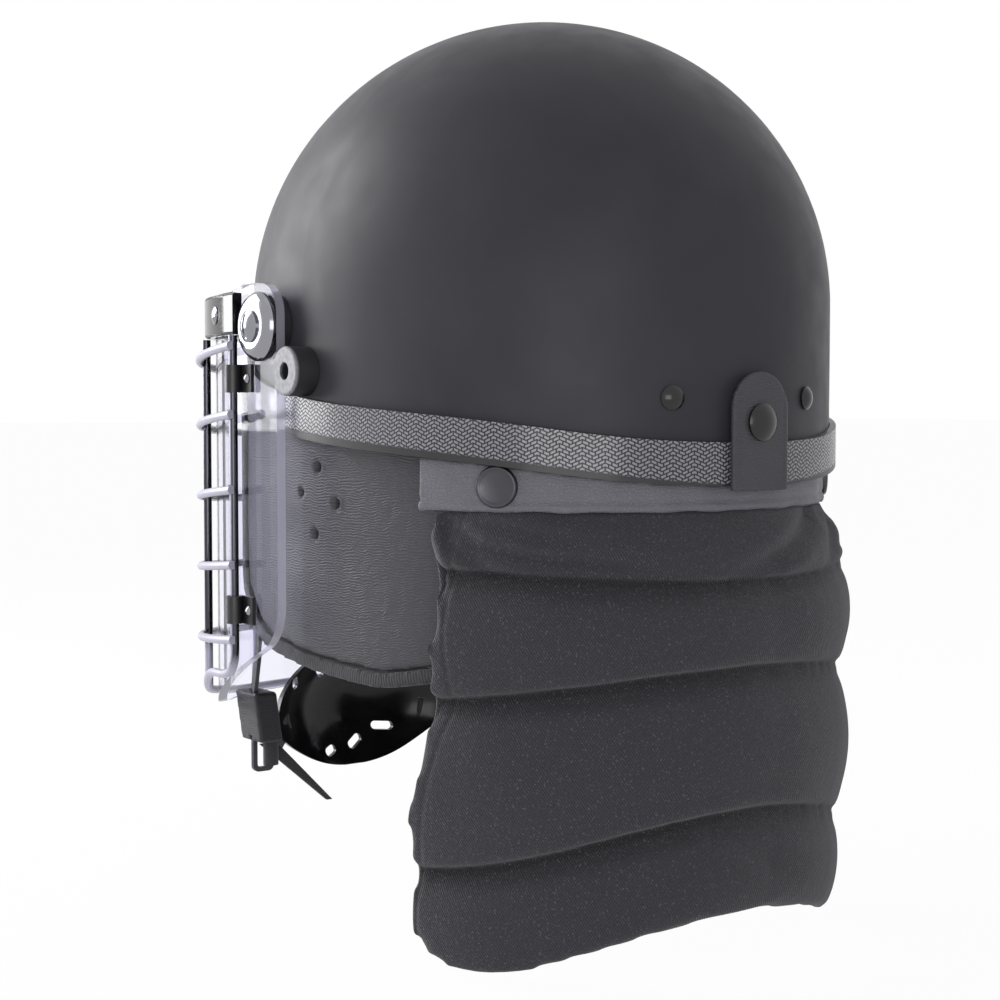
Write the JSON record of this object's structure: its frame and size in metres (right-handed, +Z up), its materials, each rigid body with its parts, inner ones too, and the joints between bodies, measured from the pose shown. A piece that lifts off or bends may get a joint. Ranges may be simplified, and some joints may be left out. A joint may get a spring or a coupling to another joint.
{
  "type": "police riot helmet",
  "caption": "Hard round helmet with a hinged clear face shield behind a wire grille, padded ear flaps, a quilted neck curtain and a slotted chin cup on webbing straps.",
  "frame": {"origin": "centre of the head space, on the helmet's middle plane at the dome's widest level", "axes": "+Z up along the wearer, -Y out through the face, +X to the wearer's left"},
  "size_m": [0.279, 0.3216, 0.3868],
  "materials": {
    "shell_plastic": "glossy dark grey",
    "trim_rubber": "satin",
    "foam": "matt bead foam",
    "comfort_fabric": "knitted",
    "clear_sheet": "clear polished",
    "black_aluminium": "black satin",
    "steel_rivet": "satin",
    "wire_steel": "coated wire",
    "black_plastic": "satin",
    "chromed": "polished",
    "grey_vinyl": "soft grained vinyl",
    "binding_tape": "woven tape",
    "webbing": "woven webbing",
    "gloss_black": "glossy"
  },
  "bodies": {
    "helmet": {"brow_pad": "comfort_fabric", "crown_pad": "comfort_fabric", "ear_binding_left": "binding_tape", "ear_binding_right": "binding_tape", "ear_flap_left": "grey_vinyl", "ear_flap_right": "grey_vinyl", "edge_trim": "trim_rubber", "impact_liner": "foam", "neck_band": "grey_vinyl", "neck_pad": "grey_vinyl", "neck_snaps": "chromed", "pivot_nut_left": "chromed", "pivot_nut_right": "chromed", "pivot_screw_left": "chromed", "pivot_screw_right": "chromed", "pivot_spacer_left": "black_plastic", "pivot_spacer_right": "black_plastic", "pivot_washer_left": "chromed", "pivot_washer_right": "chromed", "rear_pad": "comfort_fabric", "rear_rivets": "steel_rivet", "rear_snap_stud": "steel_rivet", "shell": "shell_plastic", "side_pad_left": "comfort_fabric", "side_pad_right": "comfort_fabric", "stop_screw_left": "steel_rivet", "stop_screw_right": "steel_rivet", "strap_anchors": "steel_rivet", "visor_stop_left": "black_plastic", "visor_stop_right": "black_plastic"},
    "visor": {"face_shield": "clear_sheet", "brow_bar": "black_aluminium", "brow_bar_rivets": "steel_rivet", "grille": "wire_steel", "upper_clamps": "black_plastic", "lower_clamps": "black_plastic", "clamp_screws": "steel_rivet"},
    "chin_harness": {"chin_cup": "gloss_black", "chin_loop_left": "chromed", "chin_loop_right": "chromed", "chin_strap_left": "webbing", "chin_strap_right": "webbing", "link_strap_left": "webbing", "link_strap_right": "webbing", "strap_keeper_left": "grey_vinyl", "strap_keeper_right": "grey_vinyl"},
    "rear_tab_strap": {"rear_tab": "grey_vinyl", "rear_tab_cap": "chromed"}
  },
  "joints": [
    {"name": "visor_hinge", "type": "hinge", "parent": "helmet", "child": "visor", "pos_m": [0, -0.021, -0.009], "axis": [-1, 0, 0], "range_deg": [0, 70]},
    {"name": "chin_harness_swing", "type": "hinge", "parent": "helmet", "child": "chin_harness", "pos_m": [0, -0.0596, -0.014], "axis": [1, 0, 0], "range_deg": [0, 15]},
    {"name": "rear_tab_fold", "type": "hinge", "parent": "helmet", "child": "rear_tab_strap", "pos_m": [0, 0.1492, -0.0763], "axis": [-1, 0, 0], "range_deg": [0, 90]}
  ]
}
